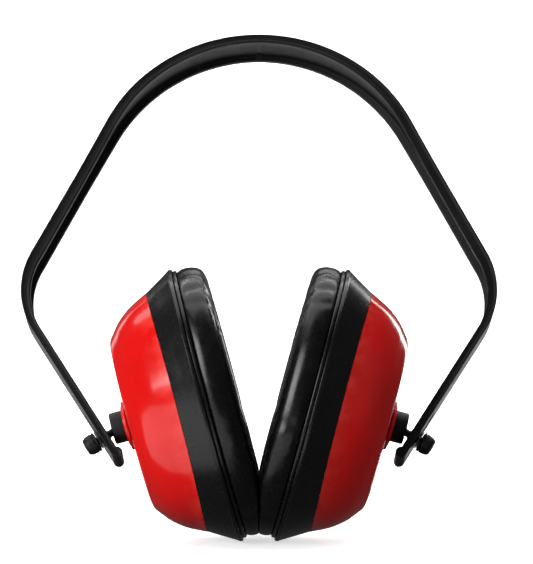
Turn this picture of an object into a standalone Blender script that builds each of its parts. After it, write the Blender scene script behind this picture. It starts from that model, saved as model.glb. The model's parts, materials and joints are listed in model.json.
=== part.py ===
"""Earmuff hearing protector: a sprung plastic headband and two oval cups on ball joints.

Lengths are in metres and +Z is up. The cups hang upright and the headband leans back over
them. The origin is at the bottom centre of the whole object's bounding box.
"""

import math

import bmesh
import bpy
from mathutils import Matrix, Vector

MM = 0.001
GAP = 0.3 * MM  # clearance between pieces that touch on the real object

# Headband, measured in its own plane from the line through the two ball centres.
BAND_LEAN = math.radians(18.5)
CROWN_HEIGHT = 151.4 * MM
CROWN_RADIUS = 64.5 * MM
SIDE_SLOPE = math.radians(62.4)
ELBOW_HALF_SPAN = 87.7 * MM
ELBOW_RADIUS = 30.0 * MM
LEG_SLOPE = math.radians(57.5)
LEG_LENGTH = 58.2 * MM
CROWN_WIDTH = 19.8 * MM
LEG_WIDTH = 14.8 * MM
CROWN_THICKNESS = 2.7 * MM
ELBOW_THICKNESS = 3.8 * MM
LEG_THICKNESS = 2.9 * MM
RAIL_WIDTH = 2.2 * MM
WEB_THICKNESS = 1.4 * MM
TIP_BEAD_RADIUS = 2.3 * MM

# Height slot in each leg, which the pivot stud slides along.
SLIDE_TRAVEL = 10.0 * MM
SLOT_WIDTH = 3.4 * MM

# Ball joint between the leg and the cup.
BALL_HALF_SPAN = 49.9 * MM
BALL_RADIUS = 3.0 * MM
SHAFT_RADIUS = 1.4 * MM
SHOULDER_RADIUS = 2.0 * MM
SEAT_INNER = BALL_RADIUS + GAP
SEAT_OUTER = 4.2 * MM
COLLAR_CAVITY = SEAT_OUTER + GAP
COLLAR_RADIUS = 5.8 * MM
COLLAR_LIP = 3.6 * MM
COLLAR_FOOT = -6.4 * MM
KNOB_RADIUS = 3.8 * MM
KNOB_LENGTH = 4.9 * MM
WASHER_RADIUS = 3.3 * MM
WASHER_THICKNESS = 0.6 * MM

# Cup. "Depth" runs outwards along the cup's axis from the plane of the rim's edge, and
# "inset" is the distance inside the rim's outline.
CUP_TILT = math.radians(15.0)
CUP_HALF_LENGTH = 51.0 * MM
CUP_HALF_WIDTH = 41.0 * MM
OVAL_POWER = 2.2
BALL_DEPTH = 31.0 * MM
SHELL_DEPTH = 28.7 * MM
SHELL_RIM_DEPTH = 12.0 * MM
SHELL_RIM_INSET = 6.5 * MM
SHELL_WALL = 2.5 * MM
RIM_FLANGE_INSET = 15.0 * MM
RIM_FLANGE = 2.2 * MM
BOSS_RADIUS = 9.0 * MM
BOSS_STEP_RADIUS = 7.4 * MM
PLATE_THICKNESS = 1.2 * MM
CUSHION_HEIGHT = 10.0 * MM
CUSHION_SIDE_INSET = 2.4 * MM
CUSHION_FACE_INSET = 14.4 * MM
CUSHION_HOLE_INSET = 19.5 * MM
CUSHION_HOLE_ROUNDING = 3.0 * MM
SKIN_THICKNESS = 0.8 * MM
LINER_DEPTH = 12.6 * MM
LINER_THICKNESS = 8.0 * MM

OVAL_SEGMENTS = 36
ROUND_SEGMENTS = 20

SIDES = {"left": -1, "right": 1}
BLACK = (0.016, 0.016, 0.018)


def clear_scene():
    """Remove every object, so that the script starts from nothing."""
    for item in list(bpy.data.objects):
        bpy.data.objects.remove(item, do_unlink=True)


def new_collection(name):
    """Make a collection under the scene."""
    group = bpy.data.collections.new(name)
    bpy.context.scene.collection.children.link(group)
    return group


def new_material(name, colour, roughness, metallic=0.0):
    """Make a Principled material."""
    material = bpy.data.materials.new(name)
    material.use_nodes = True
    shader = material.node_tree.nodes["Principled BSDF"]
    shader.inputs["Base Color"].default_value = (*colour, 1.0)
    shader.inputs["Roughness"].default_value = roughness
    shader.inputs["Metallic"].default_value = metallic
    return material


def new_empty(name, parent, location=(0.0, 0.0, 0.0), turn=(0.0, 0.0, 0.0)):
    """Make an empty that carries the pieces of one joint."""
    empty = bpy.data.objects.new(name, None)
    empty.location = location
    empty.rotation_euler = turn
    empty.empty_display_size = 0.01
    empty.parent = parent
    PARTS.objects.link(empty)
    return empty


def new_piece(name, mesh, material, parent, group=None):
    """Put a mesh in the scene as one named sub-part."""
    piece = bpy.data.objects.new(name, mesh)
    piece.parent = parent
    mesh.materials.append(material)
    (group or PARTS).objects.link(piece)
    return piece


def mesh_from_faces(name, points, faces):
    """Make a mesh from points and faces."""
    mesh = bpy.data.meshes.new(name)
    mesh.from_pydata(points, [], faces)
    mesh.update()
    return mesh


def shade(piece, angle=40.0):
    """Shade a piece smooth, with its sharper edges kept."""
    piece.data.shade_smooth()
    piece.data.set_sharp_from_angle(angle=math.radians(angle))


def turned(name, profile, material, parent, segments=ROUND_SEGMENTS, closed=False):
    """Turn a profile of (radius, height) about Z. It runs down the piece's outer side."""
    mesh = bpy.data.meshes.new(name)
    points = [(radius, 0.0, height) for radius, height in profile]
    edges = [(i, i + 1) for i in range(len(points) - 1)]
    if closed:
        edges.append((len(points) - 1, 0))
    mesh.from_pydata(points, edges, [])
    piece = new_piece(name, mesh, material, parent)
    screw = piece.modifiers.new("turn", "SCREW")
    screw.steps = segments
    screw.render_steps = segments
    screw.use_merge_vertices = True
    screw.merge_threshold = 0.00001
    screw.use_smooth_shade = True
    return piece


def arc(radius, start, end, steps, centre=0.0):
    """Points of (radius, height) on a circle, by the angle in degrees down from +Z."""
    angles = [math.radians(start + (end - start) * i / steps) for i in range(steps + 1)]
    return [(radius * math.sin(a), centre + radius * math.cos(a)) for a in angles]


def make_cutter(piece):
    """Hide a piece that only shapes another one."""
    for group in list(piece.users_collection):
        group.objects.unlink(piece)
    CUTTERS.objects.link(piece)
    piece.hide_render = True
    piece.display_type = "WIRE"


def combine(piece, tool, operation):
    """Add a Boolean with a tool to a piece."""
    make_cutter(tool)
    boolean = piece.modifiers.new(operation.lower(), "BOOLEAN")
    boolean.object = tool
    boolean.operation = operation
    boolean.solver = "EXACT"


# Headband ---------------------------------------------------------------------------------


def elbow_centre():
    """The elbow arc's centre, where the arc touches the straight side."""
    x = ELBOW_HALF_SPAN - ELBOW_RADIUS
    crown_centre = CROWN_HEIGHT - CROWN_RADIUS
    reach = CROWN_RADIUS - ELBOW_RADIUS - math.sin(SIDE_SLOPE) * x
    return x, crown_centre + reach / math.cos(SIDE_SLOPE)


def leg_surface():
    """How far the leg's outer face is from the ball's centre, square to the leg."""
    x, height = elbow_centre()
    across = math.sin(LEG_SLOPE) * (x - BALL_HALF_SPAN) - math.cos(LEG_SLOPE) * height
    return across + ELBOW_RADIUS


def band_path():
    """Stations down one half of the band's outer face: (x, height, normal angle, part).

    The normal angle is measured from straight up, and the part runs from 0 at the crown,
    through 1 at the elbow's top and 2 at its bottom, to 3 at the leg's tip.
    """
    stations = []
    crown_centre = CROWN_HEIGHT - CROWN_RADIUS
    crown_steps = 10
    for i in range(crown_steps + 1):
        angle = SIDE_SLOPE * i / crown_steps
        x = CROWN_RADIUS * math.sin(angle)
        height = crown_centre + CROWN_RADIUS * math.cos(angle)
        stations.append((x, height, angle, 0.6 * i / crown_steps))
    x_elbow, elbow_height = elbow_centre()
    turn = math.pi - LEG_SLOPE - SIDE_SLOPE
    elbow_steps = 9
    for i in range(elbow_steps + 1):
        angle = SIDE_SLOPE + turn * i / elbow_steps
        x = x_elbow + ELBOW_RADIUS * math.sin(angle)
        height = elbow_height + ELBOW_RADIUS * math.cos(angle)
        stations.append((x, height, angle, 1.0 + i / elbow_steps))
    return stations


def band_thickness(part):
    """The rails' thickness along the band."""
    if part <= 1.0:
        return CROWN_THICKNESS + (ELBOW_THICKNESS - CROWN_THICKNESS) * part
    if part <= 2.0:
        return ELBOW_THICKNESS + (LEG_THICKNESS - ELBOW_THICKNESS) * (part - 1.0)
    return LEG_THICKNESS


def band_width(height):
    """The band is widest over the crown and narrows down its sides."""
    share = min(1.0, max(0.0, (height - 90.0 * MM) / (45.0 * MM)))
    smooth = share * share * (3.0 - 2.0 * share)
    return LEG_WIDTH + (CROWN_WIDTH - LEG_WIDTH) * smooth


def band_section(width, top, bottom, web):
    """A channel section open towards the head: (across, depth below the outer face)."""
    half = width / 2.0
    rail = half - RAIL_WIDTH
    wall = rail - 0.5 * MM
    return [
        (-half, top),
        (half, top),
        (half, bottom),
        (rail, bottom),
        (wall, web),
        (-wall, web),
        (-rail, bottom),
        (-half, bottom),
    ]


def band_sections():
    """Every section of one half: its place, its normal angle and its outline."""
    sections = []
    for x, height, angle, part in band_path():
        bottom = band_thickness(part)
        share = min(1.0, max(0.0, 2.0 - part))
        web = bottom + (WEB_THICKNESS - bottom) * share
        sections.append((x, height, angle, band_section(band_width(height), 0.0, bottom, web)))
    x, height, angle = leg_point(LEG_LENGTH - 2.0 * TIP_BEAD_RADIUS - GAP, 0.0)
    outline = band_section(LEG_WIDTH, 0.0, LEG_THICKNESS, LEG_THICKNESS)
    sections.append((x, height, angle, outline))
    return sections


def leg_point(distance, depth):
    """A point of the straight leg: (x, height, normal angle), by its distance down the leg
    from the elbow and its depth below the outer face."""
    x_end, height_end, angle, _ = band_path()[-1]
    x = x_end - distance * math.cos(LEG_SLOPE) - depth * math.sin(angle)
    height = height_end - distance * math.sin(LEG_SLOPE) - depth * math.cos(angle)
    return x, height, angle


def make_half_band(side, sign, parent):
    """One half of the band, from the crown to the leg's tip, with its height slot."""
    points = []
    rings = band_sections()
    for index, (x, height, angle, outline) in enumerate(rings):
        shift = GAP / 2.0 if index == 0 else 0.0
        for across, depth in outline:
            px = x + shift - depth * math.sin(angle)
            pz = height - depth * math.cos(angle) - CROWN_HEIGHT
            points.append((sign * px, across, pz))
    count = len(rings[0][3])
    faces = [tuple(range(count)), tuple(reversed(range(len(points) - count, len(points))))]
    for ring in range(len(rings) - 1):
        for i in range(count):
            a = ring * count + i
            b = ring * count + (i + 1) % count
            faces.append((b, a, a + count, b + count))
    if sign < 0:
        faces = [tuple(reversed(face)) for face in faces]
    piece = new_piece(
        "headband_" + side, mesh_from_faces("headband_" + side, points, faces), MATERIALS["band"], parent
    )
    combine(piece, make_slot_cutter(side, sign, parent), "DIFFERENCE")
    shade(piece, 35.0)
    return piece


def make_leg_bead(side, sign, parent):
    """The round bead across the leg's end, which the stud can't slide past."""
    x, height, _ = leg_point(LEG_LENGTH - TIP_BEAD_RADIUS, TIP_BEAD_RADIUS)
    shape = bmesh.new()
    bmesh.ops.create_cone(
        shape,
        cap_ends=True,
        segments=ROUND_SEGMENTS,
        radius1=TIP_BEAD_RADIUS,
        radius2=TIP_BEAD_RADIUS,
        depth=LEG_WIDTH,
    )
    mesh = bpy.data.meshes.new(side + "_leg_bead")
    shape.to_mesh(mesh)
    shape.free()
    bead = new_piece(side + "_leg_bead", mesh, MATERIALS["band"], parent)
    bead.location = (sign * x, 0.0, height - CROWN_HEIGHT)
    bead.rotation_euler = (math.pi / 2.0, 0.0, 0.0)
    edge = bead.modifiers.new("rounded ends", "BEVEL")
    edge.width = 0.5 * MM
    edge.segments = 2
    edge.limit_method = "ANGLE"
    edge.angle_limit = math.radians(60.0)
    shade(bead)
    return bead


def make_slot_cutter(side, sign, parent):
    """A round-ended bar through the leg, from the stud's lowest place to its highest."""
    half_length = SLIDE_TRAVEL / 2.0
    radius = SLOT_WIDTH / 2.0
    outline = bmesh.new()
    corners = []
    for end in (1, -1):
        for i in range(9):
            angle = math.pi * i / 8.0
            x = end * (half_length + radius * math.sin(angle))
            corners.append(outline.verts.new((x, end * radius * math.cos(angle), -4.0 * MM)))
    face = outline.faces.new(corners)
    grown = bmesh.ops.extrude_face_region(outline, geom=[face])
    moved = [item for item in grown["geom"] if isinstance(item, bmesh.types.BMVert)]
    bmesh.ops.translate(outline, verts=moved, vec=(0.0, 0.0, 8.0 * MM))
    bmesh.ops.recalc_face_normals(outline, faces=outline.faces)
    mesh = bpy.data.meshes.new(side + "_slot_cutter")
    outline.to_mesh(mesh)
    outline.free()
    cutter = new_piece(side + "_slot_cutter", mesh, MATERIALS["band"], parent)
    middle = leg_surface() - LEG_THICKNESS / 2.0
    x = BALL_HALF_SPAN + middle * math.sin(LEG_SLOPE) + half_length * math.cos(LEG_SLOPE)
    z = half_length * math.sin(LEG_SLOPE) - middle * math.cos(LEG_SLOPE) - CROWN_HEIGHT
    cutter.location = (sign * x, 0.0, z)
    cutter.rotation_euler = (0.0, sign * (math.pi - LEG_SLOPE), 0.0)
    return cutter


# Ball joint -------------------------------------------------------------------------------


def make_slider(side, parent):
    """The stud with its ball, and the washer and knob that hold it to the leg.

    The stud's axis is +Z, away from the cup, and the ball's centre is the origin.
    """
    outer_face = leg_surface()
    inner_face = outer_face - LEG_THICKNESS
    shoulder = inner_face - GAP
    washer_base = outer_face + GAP
    knob_base = washer_base + WASHER_THICKNESS + GAP
    knob_end = knob_base + KNOB_LENGTH
    shaft_end = knob_end - 1.4 * MM
    neck_angle = math.degrees(math.asin(SHAFT_RADIUS / BALL_RADIUS))
    stud = [
        (0.0, shaft_end),
        (SHAFT_RADIUS, shaft_end),
        (SHAFT_RADIUS, shoulder),
        (SHOULDER_RADIUS, shoulder),
        (SHOULDER_RADIUS, shoulder - 0.4 * MM),
        (SHAFT_RADIUS, shoulder - 1.0 * MM),
    ]
    stud += arc(BALL_RADIUS, neck_angle, 180.0, 9)
    stud[-1] = (0.0, -BALL_RADIUS)
    turned(side + "_pivot_stud", stud, MATERIALS["joint"], parent)

    bore = SHAFT_RADIUS + GAP
    washer_top = washer_base + WASHER_THICKNESS
    washer = [
        (bore, washer_top),
        (WASHER_RADIUS, washer_top),
        (WASHER_RADIUS, washer_base),
        (bore, washer_base),
    ]
    turned(side + "_spring_washer", washer, MATERIALS["steel"], parent, closed=True)

    knob = [
        (0.0, knob_end),
        (KNOB_RADIUS - 1.4 * MM, knob_end),
        (KNOB_RADIUS - 0.6 * MM, knob_end - 0.5 * MM),
        (KNOB_RADIUS - 0.2 * MM, knob_end - 1.6 * MM),
        (KNOB_RADIUS, knob_base + 0.8 * MM),
        (KNOB_RADIUS - 0.3 * MM, knob_base),
        (bore, knob_base),
        (bore, shaft_end + GAP),
        (0.0, shaft_end + GAP),
    ]
    turned(side + "_height_knob", knob, MATERIALS["joint"], parent)


def make_ball_seat(side, parent):
    """The split-ball bush between the stud's ball and the socket collar."""
    top = 2.0 * MM
    bottom = -2.6 * MM
    outer = arc(SEAT_OUTER, sphere_angle(top, SEAT_OUTER), sphere_angle(bottom, SEAT_OUTER), 6)
    inner = arc(SEAT_INNER, sphere_angle(bottom, SEAT_INNER), sphere_angle(top, SEAT_INNER), 6)
    turned(side + "_ball_seat", outer + inner, MATERIALS["seat"], parent, closed=True)


def sphere_angle(height, radius):
    """The angle down from +Z, in degrees, at which a sphere has this height."""
    return math.degrees(math.acos(height / radius))


def make_collar(side, parent):
    """The socket collar that snaps into the cup's boss, with its retaining clip."""
    mouth = 2.2 * MM
    floor = -3.3 * MM
    cavity = arc(
        COLLAR_CAVITY, sphere_angle(floor, COLLAR_CAVITY), sphere_angle(mouth, COLLAR_CAVITY), 7
    )
    groove_foot = COLLAR_FOOT + 0.6 * MM
    groove_top = groove_foot + 1.0 * MM
    groove_radius = COLLAR_RADIUS - 0.8 * MM
    bore = cavity[0][0]
    profile = [
        (COLLAR_RADIUS - 1.2 * MM, COLLAR_LIP),
        (COLLAR_RADIUS - 0.5 * MM, COLLAR_LIP - 0.2 * MM),
        (COLLAR_RADIUS, COLLAR_LIP - 0.8 * MM),
        (COLLAR_RADIUS, groove_top),
        (groove_radius, groove_top),
        (groove_radius, groove_foot),
        (COLLAR_RADIUS, groove_foot),
        (COLLAR_RADIUS - 0.5 * MM, COLLAR_FOOT),
        (bore, COLLAR_FOOT),
    ]
    turned(side + "_socket_collar", profile + cavity, MATERIALS["joint"], parent, closed=True)

    clip_inner = groove_radius + GAP
    clip_outer = COLLAR_RADIUS + 1.8 * MM
    clip_base = groove_foot + GAP
    clip_top = groove_top - GAP
    outline = [
        (clip_inner, clip_top),
        (clip_outer, clip_top),
        (clip_outer, clip_base),
        (clip_inner, clip_base),
    ]
    clip = turned(side + "_retaining_clip", outline, MATERIALS["steel"], parent, closed=True)
    mouth_cutter = box_cutter(side + "_clip_mouth", (6.0 * MM, 3.0 * MM, 3.0 * MM), parent)
    mouth_cutter.location = (clip_inner + 1.5 * MM, 0.0, clip_base)
    combine(clip, mouth_cutter, "DIFFERENCE")


def box_cutter(name, size, parent):
    """A plain box, with its scale in its mesh."""
    shape = bmesh.new()
    bmesh.ops.create_cube(shape, size=1.0)
    bmesh.ops.scale(shape, vec=size, verts=shape.verts)
    mesh = bpy.data.meshes.new(name)
    shape.to_mesh(mesh)
    shape.free()
    return new_piece(name, mesh, MATERIALS["joint"], parent)


# Cup --------------------------------------------------------------------------------------


def oval_ring(inset, depth):
    """One oval section of the cup, as points about the ball's centre."""
    half_length = CUP_HALF_LENGTH - inset
    half_width = CUP_HALF_WIDTH - inset
    points = []
    for i in range(OVAL_SEGMENTS):
        angle = 2.0 * math.pi * i / OVAL_SEGMENTS
        c = math.cos(angle)
        s = math.sin(angle)
        x = half_length * math.copysign(abs(c) ** (2.0 / OVAL_POWER), c)
        y = half_width * math.copysign(abs(s) ** (2.0 / OVAL_POWER), s)
        points.append((x, y, depth - BALL_DEPTH))
    return points


def oval_piece(name, profile, material, parent, closed=True):
    """Loft a profile of (inset, depth) around the cup's oval.

    It runs down the outer side, from the outermost depth. A closed profile makes a ring,
    and an open one is capped with flat ovals at both of its ends.
    """
    points = []
    for inset, depth in profile:
        points += oval_ring(inset, depth)
    count = OVAL_SEGMENTS
    rings = len(profile)
    faces = []
    for ring in range(rings if closed else rings - 1):
        a = ring * count
        b = (ring + 1) % rings * count
        for i in range(count):
            j = (i + 1) % count
            faces.append((a + i, b + i, b + j, a + j))
    if not closed:
        faces.append(tuple(range(count)))
        faces.append(tuple(reversed(range((rings - 1) * count, rings * count))))
    piece = new_piece(name, mesh_from_faces(name, points, faces), material, parent)
    shade(piece)
    return piece


def inward(profile, distance):
    """Move a profile that runs down an outer side inwards by a distance."""
    moved = []
    for i, (inset, depth) in enumerate(profile):
        before = Vector(profile[max(0, i - 1)])
        after = Vector(profile[min(len(profile) - 1, i + 1)])
        along = (after - before).normalized()
        moved.append((inset - along.y * distance, depth + along.x * distance))
    return moved


def shell_outline():
    """The red shell's outer side, from its flat back down to its rim."""
    flat_inset = 26.6 * MM
    return [
        (flat_inset, SHELL_DEPTH),
        (21.1 * MM, SHELL_DEPTH - 0.6 * MM),
        (18.0 * MM, SHELL_DEPTH - 2.2 * MM),
        (14.6 * MM, 23.4 * MM),
        (10.7 * MM, 18.8 * MM),
        (SHELL_RIM_INSET, SHELL_RIM_DEPTH + GAP),
    ]


def make_shell(side, parent):
    """The outer shell, with the stepped boss that the collar snaps into."""
    outer = shell_outline()
    inner = inward(outer, SHELL_WALL)
    inner[0] = (outer[0][0], SHELL_DEPTH - SHELL_WALL)
    inner[-1] = (outer[-1][0] + SHELL_WALL, outer[-1][1])
    shell = oval_piece(
        side + "_outer_shell", outer + inner[::-1], MATERIALS["shell"], parent, closed=False
    )
    back = SHELL_DEPTH - BALL_DEPTH
    flange = back + 0.8 * MM
    step = flange + 1.0 * MM
    top = step + 0.5 * MM
    boss = [
        (0.0, top),
        (BOSS_STEP_RADIUS - 0.3 * MM, top),
        (BOSS_STEP_RADIUS, step),
        (BOSS_RADIUS - 0.3 * MM, step),
        (BOSS_RADIUS, step - 0.3 * MM),
        (BOSS_RADIUS, flange),
        (BOSS_STEP_RADIUS, flange),
        (BOSS_STEP_RADIUS, back - SHELL_WALL / 2.0),
        (0.0, back - SHELL_WALL / 2.0),
    ]
    combine(shell, turned(side + "_boss", boss, MATERIALS["shell"], parent), "UNION")
    hole_radius = COLLAR_RADIUS + GAP
    hole = [
        (0.0, 5.0 * MM),
        (hole_radius, 5.0 * MM),
        (hole_radius, -9.0 * MM),
        (0.0, -9.0 * MM),
    ]
    combine(shell, turned(side + "_boss_hole", hole, MATERIALS["shell"], parent), "DIFFERENCE")


def make_rim(side, parent):
    """The black base ring that the shell closes on and the cushion clips to."""
    profile = [
        (SHELL_RIM_INSET + 2.6 * MM, SHELL_RIM_DEPTH),
        (SHELL_RIM_INSET, SHELL_RIM_DEPTH),
        (0.0, 1.0 * MM),
        (0.0, 0.0),
        (RIM_FLANGE_INSET, 0.0),
        (RIM_FLANGE_INSET, RIM_FLANGE),
        (3.8 * MM, RIM_FLANGE),
    ]
    oval_piece(side + "_rim_ring", profile, MATERIALS["rim"], parent)


def cushion_outline():
    """The cushion's outside, from its outer foot over the sealing face to the ear hole."""
    foot = -(PLATE_THICKNESS + 2.0 * GAP)
    corner = CUSHION_FACE_INSET - CUSHION_SIDE_INSET
    start = math.asin(-foot / CUSHION_HEIGHT)
    points = []
    for i in range(6):
        angle = start + (math.pi / 2.0 - start) * i / 5.0
        inset = CUSHION_FACE_INSET - corner * math.cos(angle)
        points.append((inset, -CUSHION_HEIGHT * math.sin(angle)))
    lip = CUSHION_HOLE_INSET - CUSHION_HOLE_ROUNDING
    for i in range(4):
        angle = math.pi / 2.0 * i / 3.0
        inset = lip + CUSHION_HOLE_ROUNDING * math.sin(angle)
        depth = -CUSHION_HEIGHT + CUSHION_HOLE_ROUNDING * (1.0 - math.cos(angle))
        points.append((inset, depth))
    points.append((CUSHION_HOLE_INSET, foot))
    return points


def level_ends(profile, depth):
    """Bring both ends of a cushion profile to one depth."""
    profile[0] = (profile[0][0], depth)
    profile[-1] = (profile[-1][0], depth)
    return profile


def make_cushion(side, parent):
    """The ear cushion: a clip-on back plate, a foam ring and the skin around it."""
    plate_top = -GAP
    plate_foot = plate_top - PLATE_THICKNESS
    plate = [
        (CUSHION_HOLE_INSET - 2.0 * MM, plate_top),
        (CUSHION_SIDE_INSET, plate_top),
        (CUSHION_SIDE_INSET, plate_foot),
        (CUSHION_HOLE_INSET - 2.0 * MM, plate_foot),
    ]
    oval_piece(side + "_cushion_plate", plate, MATERIALS["rim"], parent)
    outer = cushion_outline()
    foot = outer[0][1]
    inner = level_ends(inward(outer, SKIN_THICKNESS), foot)
    oval_piece(side + "_cushion_skin", outer + inner[::-1], MATERIALS["skin"], parent)
    foam = level_ends(inward(outer, SKIN_THICKNESS + GAP), foot)
    oval_piece(side + "_cushion_foam", foam, MATERIALS["foam"], parent)


def make_liner(side, parent):
    """The acoustic foam pad inside the shell."""
    top = LINER_DEPTH + LINER_THICKNESS
    profile = [(17.0 * MM, top), (10.4 * MM, LINER_DEPTH + 0.4 * MM), (10.8 * MM, LINER_DEPTH)]
    oval_piece(side + "_foam_liner", profile, MATERIALS["foam"], parent, closed=False)


def make_side(side, sign, band_plane, root):
    """Everything that hangs from one leg of the band."""
    ball_centre = (sign * BALL_HALF_SPAN, 0.0, 0.0)
    slider = new_empty(
        side + "_slider", band_plane, ball_centre, (0.0, sign * (math.pi - LEG_SLOPE), 0.0)
    )
    make_slider(side, slider)
    make_ball_seat(side, slider)
    cup = new_empty(side + "_cup", root, ball_centre, (0.0, sign * (math.pi / 2 + CUP_TILT), 0.0))
    make_collar(side, cup)
    make_shell(side, cup)
    make_rim(side, cup)
    make_cushion(side, cup)
    make_liner(side, cup)


def stand_on_origin(root):
    """Move the whole object so that its bounding box stands on the origin."""
    bpy.context.view_layer.update()
    graph = bpy.context.evaluated_depsgraph_get()
    low = Vector((math.inf, math.inf, math.inf))
    high = -low
    for piece in PARTS.objects:
        if piece.type != "MESH":
            continue
        shape = piece.evaluated_get(graph)
        for vertex in shape.data.vertices:
            point = shape.matrix_world @ vertex.co
            low = Vector(map(min, low, point))
            high = Vector(map(max, high, point))
    root.location = (-(low.x + high.x) / 2.0, -(low.y + high.y) / 2.0, -low.z)
    bpy.context.view_layer.update()


def main():
    """Build the whole earmuff."""
    root = new_empty("earmuff_frame", None)
    band_plane = new_empty("band_plane", root, turn=(-BAND_LEAN, 0.0, 0.0))
    flex_axis = new_empty("band_flex_axis", band_plane, (0.0, 0.0, CROWN_HEIGHT))
    for side, sign in SIDES.items():
        make_half_band(side, sign, flex_axis)
        make_leg_bead(side, sign, flex_axis)
        make_side(side, sign, band_plane, root)
    stand_on_origin(root)


clear_scene()
PARTS = new_collection("earmuff_hearing_protector")
CUTTERS = new_collection("cutters")
MATERIALS = {
    "band": new_material("band_black", BLACK, 0.45),
    "joint": new_material("joint_black", BLACK, 0.5),
    "seat": new_material("seat_grey", (0.12, 0.12, 0.13), 0.5),
    "steel": new_material("spring_steel", (0.55, 0.55, 0.57), 0.3, 1.0),
    "shell": new_material("shell_red", (0.72, 0.01, 0.008), 0.22),
    "rim": new_material("rim_black", BLACK, 0.4),
    "skin": new_material("cushion_skin", (0.012, 0.012, 0.014), 0.3),
    "foam": new_material("foam_grey", (0.06, 0.06, 0.065), 0.95),
}
main()
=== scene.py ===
"""Looks of the earmuff hearing protector: fine meshes, soft cushions and materials on the frame."""

import json
import math

import bmesh
import bpy
from mathutils import Matrix, Vector, noise


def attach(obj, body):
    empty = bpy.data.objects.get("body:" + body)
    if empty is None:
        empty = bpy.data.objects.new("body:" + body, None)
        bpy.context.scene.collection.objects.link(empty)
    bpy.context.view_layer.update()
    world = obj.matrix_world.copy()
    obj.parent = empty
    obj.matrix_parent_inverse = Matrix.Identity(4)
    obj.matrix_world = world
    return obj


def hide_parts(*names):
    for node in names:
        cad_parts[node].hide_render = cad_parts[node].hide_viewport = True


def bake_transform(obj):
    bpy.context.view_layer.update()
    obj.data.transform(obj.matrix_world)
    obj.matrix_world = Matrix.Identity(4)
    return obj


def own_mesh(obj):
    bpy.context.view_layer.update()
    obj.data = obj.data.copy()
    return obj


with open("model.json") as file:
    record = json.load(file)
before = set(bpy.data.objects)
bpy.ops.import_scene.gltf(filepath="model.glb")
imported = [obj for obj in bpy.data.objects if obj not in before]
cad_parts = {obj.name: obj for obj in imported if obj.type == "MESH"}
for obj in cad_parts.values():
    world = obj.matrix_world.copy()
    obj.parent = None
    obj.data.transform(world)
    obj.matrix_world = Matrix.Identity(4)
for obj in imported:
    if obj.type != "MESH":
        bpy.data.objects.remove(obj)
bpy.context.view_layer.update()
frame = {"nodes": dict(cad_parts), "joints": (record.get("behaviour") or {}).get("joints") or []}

MM = 0.001
SIDES = {"left": -1, "right": 1}

# Headband, in its own plane, from the line through the two ball centres (as in the CAD).
CROWN_HEIGHT = 151.4 * MM
CROWN_RADIUS = 64.5 * MM
SIDE_SLOPE = math.radians(62.4)
ELBOW_HALF_SPAN = 87.7 * MM
ELBOW_RADIUS = 30.0 * MM
LEG_SLOPE = math.radians(57.5)
LEG_LENGTH = 58.2 * MM
CROWN_WIDTH = 19.8 * MM
LEG_WIDTH = 14.8 * MM
NARROW_BELOW = 90.0 * MM
WIDE_ABOVE = 135.0 * MM
CROWN_THICKNESS = 3.2 * MM
ELBOW_THICKNESS = 4.5 * MM
CROWN_THICKENING = 0.6  # the share of the thickening that happens over the crown
LEG_THICKNESS = 2.9 * MM
RAIL_WIDTH = 2.2 * MM
RAIL_DRAFT = 0.5 * MM
WEB_THICKNESS = 1.4 * MM
EDGE_GROOVE = 0.28 * MM
GROOVE_SHARE = 0.16  # half the groove's floor, as a share of the edge's depth
BEAD_RADIUS = 2.05 * MM
BEAD_DEPTH = 2.0 * MM
SLIDE_TRAVEL = 10.0 * MM
SLOT_WIDTH = 3.4 * MM
SLOT_CUT_DEPTH = 8.0 * MM
CHAMFER_DEPTH = 0.8 * MM
CHAMFER_FLARE = 0.5 * MM
GATE_PLACE = 6.1 * MM
GATE_RADIUS = 1.2 * MM
GATE_PIT_RADIUS = 0.6 * MM
BALL_HALF_SPAN = 49.9 * MM

# Stations along one half of the band.
CROWN_STEPS = 40
SIDE_STEPS = 12
ELBOW_STEPS = 36
LEG_STEPS = 10
SLOT_STEPS = 16
SEAM_STATION = CROWN_STEPS + SIDE_STEPS + 17  # on the elbow, where the bending part meets the leg

# Ball joint.
GAP = 0.3 * MM
BALL_RADIUS = 3.0 * MM
SHAFT_RADIUS = 1.4 * MM
SEAT_OUTER = 4.2 * MM
COLLAR_CAVITY = 4.5 * MM
COLLAR_RADIUS = 5.8 * MM
COLLAR_LIP = 3.6 * MM
KNOB_RADIUS = 3.8 * MM
KNOB_LENGTH = 4.9 * MM
KNOB_GROOVE = 0.3 * MM
STUD_FLANGE_RADIUS = 1.75 * MM
WASHER_RADIUS = 3.3 * MM
WASHER_ROOM = 0.6 * MM  # between the leg and the knob, for the washer's waves
WASHER_HALF_THICKNESS = 0.15 * MM
WASHER_WAVE = 0.12 * MM
SEAT_TOP = 2.0 * MM
SEAT_FOOT = -2.6 * MM
CAVITY_TOP = 2.2 * MM
CAVITY_FOOT = -3.3 * MM
COLLAR_FOOT = -6.4 * MM
CLIP_GROOVE = 0.8 * MM

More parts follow.
